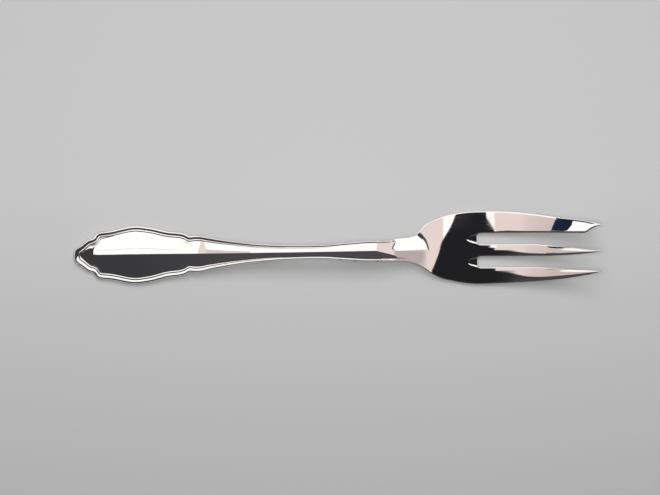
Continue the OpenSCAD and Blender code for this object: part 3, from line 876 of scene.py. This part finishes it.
def marks_group():
    """Shared polishing marks: fine scratches and a faint unevenness of the shine."""
    group = bpy.data.node_groups.new("polishing marks", "ShaderNodeTree")
    face = group.interface
    face.new_socket("Vector", in_out="INPUT", socket_type="NodeSocketVector")
    for label in ("Scratches", "Haze"):
        face.new_socket(label, in_out="INPUT", socket_type="NodeSocketFloat").default_value = 1.0
    for label in ("Roughness", "Height", "Tarnish"):
        face.new_socket(label, in_out="OUTPUT", socket_type="NodeSocketFloat")
    p = Pattern(group)
    given = p.add("NodeGroupInput").outputs

    def speckle(stretch, turn, low, high):
        inputs = {"Vector": given["Vector"], "Rotation": (0, 0, turn), "Scale": stretch}
        place = p.add("ShaderNodeMapping", inputs).outputs["Vector"]
        noise = p.add("ShaderNodeTexNoise", {"Vector": place, "Scale": 1, "Detail": 3})
        return p.place(noise.outputs["Fac"], low, high)

    fine = speckle((90, 4200, 4200), 0.06, 0.66, 0.74)
    crossing = speckle((140, 3600, 3600), 0.9, 0.68, 0.76)
    rubbed = speckle((160, 3900, 3900), -0.5, 0.68, 0.76)
    haze = speckle((70, 160, 160), 0.2, 0.35, 0.75)
    cloud = speckle((25, 60, 60), 0.4, 0.3, 0.8)
    lines = p.sum("ADD", p.sum("ADD", fine, crossing), rubbed)
    scratched = p.both(lines, given["Scratches"])
    rough = p.line(p.both(haze, given["Haze"]), 0.022, 0.02)
    p.add("NodeGroupOutput", {
        "Roughness": p.line(scratched, rough, 0.05),
        "Height": p.sum("MULTIPLY", scratched, -1.0),
        "Tarnish": p.both(cloud, given["Haze"]),
    })
    return group


def new_material(name):
    """A material with the standard shader, and the pattern of its nodes."""
    material = bpy.data.materials.new(name)
    material.use_nodes = True
    return material, Pattern(material.node_tree)


def silver_plate(name, marks, scratches, haze):
    """Polished silver plate over nickel silver."""
    material, p = new_material(name)
    point = p.add("ShaderNodeTexCoord").outputs["Object"]
    inputs = {"Vector": point, "Scratches": scratches, "Haze": haze}
    worn = p.add("ShaderNodeGroup", inputs, node_tree=marks).outputs
    bump = p.add("ShaderNodeBump", {"Strength": 0.06, "Distance": 0.00001, "Height": worn["Height"]})
    bright, tarnished = (0.9, 0.885, 0.865, 1), (0.84, 0.815, 0.78, 1)
    p.fill(p.nodes["Principled BSDF"], {
        "Base Color": p.paint(bright, worn["Tarnish"], tarnished),
        "Metallic": 1,
        "Roughness": worn["Roughness"],
        "Normal": bump.outputs["Normal"],
    })
    return material


def table_top():
    """Pale grey table, a little darker towards the south: painted shade where the room's light falls off.
    """
    mesh = bpy.data.meshes.new("table_top")
    reach = 3.0
    corners = [(-reach, -reach, 0), (reach, -reach, 0), (reach, reach, 0), (-reach, reach, 0)]
    mesh.from_pydata(corners, [], [(0, 1, 2, 3)])
    material, p = new_material("pale grey table")
    # Painted shade: the table's grey darkens from north to south as the room's light falls off, on top of
    # the lamps' own shading
    painted_light_falloff = p.add("ShaderNodeValToRGB", {"Fac": p.place(p.axes()["Y"], -0.1, 0.1, "LINEAR")})
    stops = painted_light_falloff.color_ramp.elements
    stops[0].position, stops[0].color = 0, (0.5, 0.5, 0.5, 1)
    stops[1].position, stops[1].color = 1, (0.64, 0.64, 0.64, 1)
    for at, grey in ((0.2, 0.545), (0.4, 0.6), (0.58, 0.66)):
        stops.new(at).color = (grey, grey, grey, 1)
    p.fill(p.nodes["Principled BSDF"], {
        "Base Color": painted_light_falloff.outputs["Color"], "Roughness": 0.9, "Specular IOR Level": 0.1,
    })
    mesh.materials.append(material)
    top = add_object("table_top", mesh)
    top.location.z = -0.0001


WHITE, BEIGE, PALE = (1.16, 1.15, 1.14, 1), (0.89, 0.76, 0.73, 1), (0.62, 0.61, 0.6, 1)
COAL, NAVY, MAUVE = (0.045, 0.045, 0.05, 1), (0.012, 0.02, 0.05, 1), (0.52, 0.45, 0.425, 1)
BLACK, SOOT = (0.016, 0.016, 0.018, 1), (0.03, 0.03, 0.034, 1)
SAND, ASH = (0.66, 0.575, 0.55, 1), (0.072, 0.069, 0.073, 1)


def tent_colour(p):
    """Soft boxes, walls and dark cards, painted by direction.

    hx and hy are the slopes of the metal in which the camera sees that direction.
    """
    x, y, z = p.axes(only_direction=True)
    up = p.sum("ADD", z, 1.0)
    hx, hy = p.sum("DIVIDE", x, up), p.sum("DIVIDE", y, up)
    north, south = p.above(hy, 0.0, 0.003), p.below(hy, 0.0, 0.003)
    up_hy, down_hy = p.sum("MAXIMUM", hy, 0.0), p.sum("MAXIMUM", p.sum("MULTIPLY", hy, -1.0), 0.0)
    # Warm wall to the left, under the soft box and round the end of the dark card, darker further off
    foot = p.sum("MAXIMUM", p.sum("MULTIPLY", p.sum("ADD", hx, 0.088), 0.6), -0.1)
    left_wall = p.both(p.below(hx, -0.088, 0.004), p.below(hy, 0.19, 0.008), p.above(hy, foot, 0.012))
    far_wall = p.paint(SAND, p.above(hx, -0.235, 0.06), BEIGE)
    # Warm wall to the right, with the frame of the second soft box in it
    wall = p.line(p.sum("MINIMUM", up_hy, 0.15), 0.172, 0.25)
    frame_edge = p.line(p.sum("MINIMUM", up_hy, 0.038), 0.322, 1.1)
    turned = p.sum("MINIMUM", p.sum("MAXIMUM", p.sum("SUBTRACT", hy, 0.055), 0.0), 0.05)
    frame_edge = p.line(turned, frame_edge, -0.6)
    # The dark end of the camera's stand curves away from the warm wall
    near = p.sum("MINIMUM", down_hy, 0.05)
    bend = p.line(p.sum("MULTIPLY", near, near), p.line(near, 0.2, 0.5), 24.0)
    bend = p.line(p.sum("MAXIMUM", p.line(down_hy, -0.1, 1.0), 0.0), bend, 0.35)
    low_wall = p.both(south, p.above(hy, -0.36, 0.06))
    # The camera and its stand
    stand = p.line(p.sum("MULTIPLY", up_hy, up_hy), p.line(up_hy, bend, -0.283), -9.14)
    start = p.sum("MINIMUM", p.sum("MAXIMUM", p.line(hy, -0.415, 6.0), -0.086), -0.064)
    reach = p.between(hy, -0.17, 0.115, 0.004)
    cloth = p.paint(BLACK, p.above(hy, 0.07, 0.02), SOOT)
    steep = p.sum("SQRT", p.sum("ADD", p.sum("POWER", hx, 2.0), p.sum("POWER", hy, 2.0)))
    layers = [
        (south, COAL),
        (p.below(hy, -0.12, 0.04), ASH),
        (left_wall, far_wall),
        (p.both(p.above(hx, wall, 0.004), north), BEIGE),
        (p.both(p.above(hx, p.line(frame_edge, -0.017, 1.0), 0.003), north), COAL),
        (p.both(p.above(hx, frame_edge, 0.003), north), WHITE),
        (p.both(p.above(hx, bend, 0.005), low_wall), BEIGE),
        (p.both(p.above(hx, 0.345, 0.03), low_wall), MAUVE),
        # Far left: the light beyond the wall
        (p.both(p.between(hx, -0.365, -0.297, 0.0015), p.above(hy, 0.03)), WHITE),
        (p.both(p.above(hx, -0.13, 0.05), p.below(hx, 0), south, reach), BLACK),
        (p.both(p.above(hx, start, 0.002), p.below(hx, stand, 0.004), reach), cloth),
        # Down to the table's level the tent is plain, pale to the north and dark to the south
        (p.both(p.above(steep, 0.72, 0.16), p.above(hy, -0.1, 0.1)), PALE),
    ]
    colour = WHITE
    for mask, coat in layers:
        colour = p.paint(colour, mask, coat)
    return colour


def glow_material(name, colour_of):
    """Light of the colour that a function writes into the material's nodes."""
    material, p = new_material(name)
    p.nodes.clear()
    glow = p.add("ShaderNodeEmission", {"Color": colour_of(p)})
    p.add("ShaderNodeOutputMaterial", {"Surface": glow.outputs[0]})
    return material


def show_in_mirrors_only(thing):
    for kind in ("camera", "diffuse", "shadow", "transmission", "volume_scatter"):
        setattr(thing, "visible_" + kind, False)


def light_tent():
    """Dome of soft boxes and dark cards that the polished metal mirrors, seen by no camera."""
    rings, around, radius, past_level = 24, 48, 0.7, 1.04
    points = [(0, 0, radius)]
    for i in range(1, rings + 1):
        fall = math.pi / 2 * i / rings * past_level
        for k in range(around):
            turn, out = 2 * math.pi * k / around, radius * math.sin(fall)
            points.append((out * math.cos(turn), out * math.sin(turn), radius * math.cos(fall)))
    faces = [(0, 1 + k, 1 + (k + 1) % around) for k in range(around)]
    for i in range(rings - 1):
        for k in range(around):
            a, b = 1 + i * around, 1 + (k + 1) % around
            faces.append((a + k, a + around + k, a + around + b - 1, a + b - 1))
    mesh = bpy.data.meshes.new("light_tent")
    mesh.from_pydata(points, [], faces)
    mesh.materials.append(glow_material("soft boxes and cards", tent_colour))
    tent = add_object("light_tent", mesh)
    show_in_mirrors_only(tent)


# Small cards just over the fork: colour, height and outline in millimetres in the shared frame
LOW_CARDS = [
    (COAL, 20.3, [
        (-92, -14), (-76, -14), (-76, -45), (-66.7, -45), (-66.7, 40), (-76, 40), (-76, 11), (-92, 11),
    ]),
    (WHITE, 20, [
        (-46.1, 0.05), (-46.1, 40), (-66.7, 40), (-66.7, 15), (-71, 11.5), (-72.5, 8), (-72.5, 4),
        (-71.2, 1.6), (-68.6, 0.05),
    ]),
    (PALE, 19.9, [(-69, 3.75), (-50, 3.75), (-50, 4.05), (-69, 4.05)]),
    (BEIGE, 20, [(-46.1, 0.05), (-44.3, 0.05), (-44.3, 60), (-46.1, 60)]),
    (WHITE, 20, [(-30.6, 0.05), (16, 0.05), (16, 40), (-30.6, 40)]),
    (ASH, 20, [(-66.7, -45), (29, -45), (29, -12.5), (24, -8), (20, -4.5), (15.8, -0.05), (-66.7, -0.05)]),
    (BEIGE, 20.3, [(15.8, -45), (26, -45), (26, -0.05), (15.8, -0.05)]),
    (NAVY, 20, [
        (50.2, 5.7), (51.3, 8.4), (52.6, 11.4), (52.6, 20), (55.3, 19), (63.1, 15.3), (64.6, 9),
        (57.2, 10.9), (56.9, 8.6), (55.5, 7), (54.9, 5.7),
    ]),
    (NAVY, 20, [(50.5, 2.3), (52.3, 1.9), (54.6, 3), (54.6, 6), (52.5, 5.2), (50.5, 4)]),
    (NAVY, 20, [(49.6, -4.9), (52.1, -4.7), (52.1, -4.1), (49.6, -4.4)]),
]


def card_glow(name, colour):
    """Plain light. The ash card is as dark as coal over the handle's end."""

    def colour_of(p):
        return p.paint(COAL, p.above(p.axes()["X"], -0.047, 0.016), ASH) if colour == ASH else colour

    return glow_material(name, colour_of)


def low_cards():
    """Cards so low that only the metal right under each of them mirrors it."""
    mesh = bpy.data.meshes.new("low_cards")
    points, faces = [], []
    for _, height, outline in LOW_CARDS:
        first = len(points)
        points += [(x * MM, y * MM, height * MM) for x, y in outline]
        faces.append(tuple(range(first, first + len(outline))))
    mesh.from_pydata(points, [], faces)
    for i, (colour, _, _) in enumerate(LOW_CARDS):
        mesh.materials.append(card_glow("card %d" % (i + 1), colour))
        mesh.polygons[i].material_index = i
    cards = add_object("low_cards", mesh)
    show_in_mirrors_only(cards)


def soft_box(name, place, size, energy):
    """Square lamp that faces the fork and that neither the camera nor the metal sees."""
    lamp = bpy.data.lights.new(name, "AREA")
    lamp.size, lamp.energy = size, energy
    box = add_object(name, lamp)
    box.location = place
    box.rotation_euler = (-math.atan2(place[1], place[2]), 0, 0)
    box.visible_camera = False
    box.visible_glossy = False


def studio():
    """Dim grey surroundings and two lamps for the table."""
    world = bpy.data.worlds.new("studio")
    bpy.context.scene.world = world
    world.use_nodes = True
    air = world.node_tree.nodes["Background"]
    air.inputs["Color"].default_value = (0.66, 0.66, 0.66, 1)
    air.inputs["Strength"].default_value = 0.3
    soft_box("north soft box", (0, 0.4, 0.9), 0.5, 4.1)
    soft_box("overhead soft box", (0, 0, 0.6), 0.12, 1.1)


def camera():
    """Long lens straight above the fork. It sees a stretch of table 188 mm wide."""
    lens = bpy.data.cameras.new("camera")
    distance, seen, sensor, turn = 2.4, 0.1881, 36, -0.904
    lens.sensor_width = sensor
    lens.lens = sensor * distance / seen
    view = add_object("camera", lens)
    view.location = (-0.0021, 0.00072, distance)
    view.rotation_euler = (0, 0, math.radians(turn))
    bpy.context.scene.camera = view


marks = marks_group()
handle_plate = silver_plate("silver plate, handle", marks, 1.0, 1.0)
stem_plate = silver_plate("silver plate, stem", marks, 0.7, 0.8)
bowl_plate = silver_plate("silver plate, head and tines", marks, 0.8, 1.0)

# The blank from tip to head is one skin, struck once and then parted at the regions' joins
tip_stations = EDGES[1][0][np.arange(0, int(2.4 / FINE), 3)]
body_stations = np.concatenate([
    tip_stations, np.linspace(tip_stations[-1], HANDLE_L, 270)[1:], np.linspace(HANDLE_L, STEM_X, 300)[1:],
    np.linspace(STEM_X, NECK_X, 84)[1:], [NECK_X + 0.15],
])
points, across = skin(body_stations)
outer = thread_heights(points[..., 0])
inner = outer * inner_share(points[..., 0])
points = struck(points, across, outer, inner, thread_tree(handle_plate))
mirrored = points[1][np.r_[0, np.arange(points.shape[1] - 1, 0, -1)]]
normals = ring_normals(points[:-1], mirrored, points[-1])
handle_end, stem_end, neck_end = (
    int(np.argmin(np.abs(body_stations - join))) for join in (HANDLE_L, STEM_X, NECK_X)
)


def region(name, first, last, material, pointed=False):
    """One region of the struck skin, from ring to ring."""
    return ring_piece(name, points[first:last + 1], normals[first:last + 1], material, pointed)


pieces = {
    "handle": region("handle_skin", 0, handle_end, handle_plate, pointed=True),
    "stem": region("stem_skin", handle_end, stem_end, stem_plate),
    "neck": region("neck_skin", stem_end, neck_end, stem_plate),
    "head": head_piece(bowl_plate),
    "cutting_tine": tine_piece(
        "cutting_blade", CUTTING_SHARES, CUTTING_RIGHT, CUTTING_W, bowl_plate, right_spread=0.25, bevel=True
    ),
    "middle_tine": tine_piece("middle_prong", MIDDLE_SHARES, MIDDLE_RIGHT, MIDDLE_W, bowl_plate),
    "outer_tine": tine_piece("outer_prong", OUTER_SHARES, OUTER_LEFT - OUTER_W, OUTER_W, bowl_plate),
}
for node, piece in pieces.items():
    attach(piece, "root")
    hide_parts(node)

table_top()
light_tent()
low_cards()
studio()
camera()
bpy.context.scene.view_settings.view_transform = "Standard"
